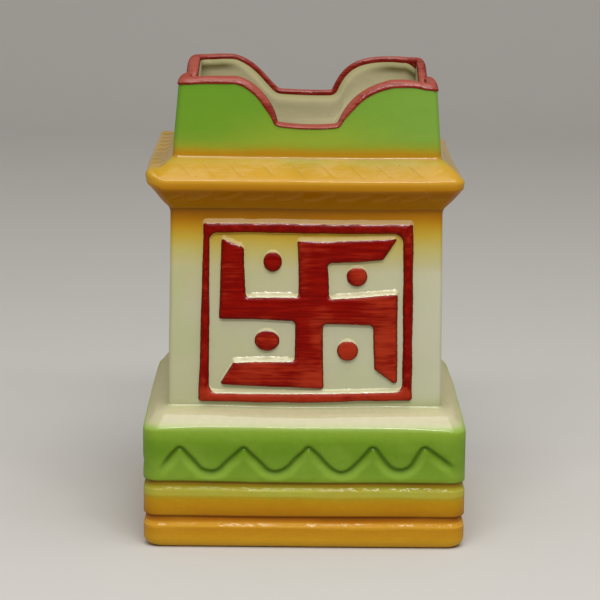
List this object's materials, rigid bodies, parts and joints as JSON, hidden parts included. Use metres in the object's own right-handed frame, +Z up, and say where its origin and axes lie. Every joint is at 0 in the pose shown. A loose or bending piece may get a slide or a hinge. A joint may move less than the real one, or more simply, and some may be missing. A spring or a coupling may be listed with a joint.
{
  "type": "tulsi vrindavan planter",
  "caption": "Square glazed ceramic shrine planter: stepped plinth with an incised wave, shaft with svastika panels, cornice, and a hollow trough with stepped rim openings.",
  "frame": {"origin": "centre of the underside, on the surface that the planter stands on", "axes": "+Z up, the decorated front looks along -Y, +X to the viewer's right"},
  "size_m": [0.1424, 0.1424, 0.2075],
  "materials": {
    "green_glaze": "glossy leaf green glaze",
    "ochre_glaze": "glossy amber ochre glaze",
    "yellow_glaze": "glossy honey yellow glaze",
    "cream_glaze": "glossy grey cream glaze",
    "red_glaze": "glossy brushed red enamel"
  },
  "bodies": {
    "root": {"foot_course": "ochre_glaze", "middle_course": "ochre_glaze", "wave_course": "green_glaze", "floor_slab": "cream_glaze", "shaft": "cream_glaze", "cornice": "yellow_glaze", "trough": "green_glaze", "rim_bead": "red_glaze", "front_frame": "red_glaze", "front_svastika": "red_glaze", "front_dot_upper_left": "red_glaze", "front_dot_upper_right": "red_glaze", "front_dot_lower_left": "red_glaze", "front_dot_lower_right": "red_glaze", "back_frame": "red_glaze", "back_svastika": "red_glaze", "back_dot_upper_left": "red_glaze", "back_dot_upper_right": "red_glaze", "back_dot_lower_left": "red_glaze", "back_dot_lower_right": "red_glaze"}
  },
  "joints": []
}
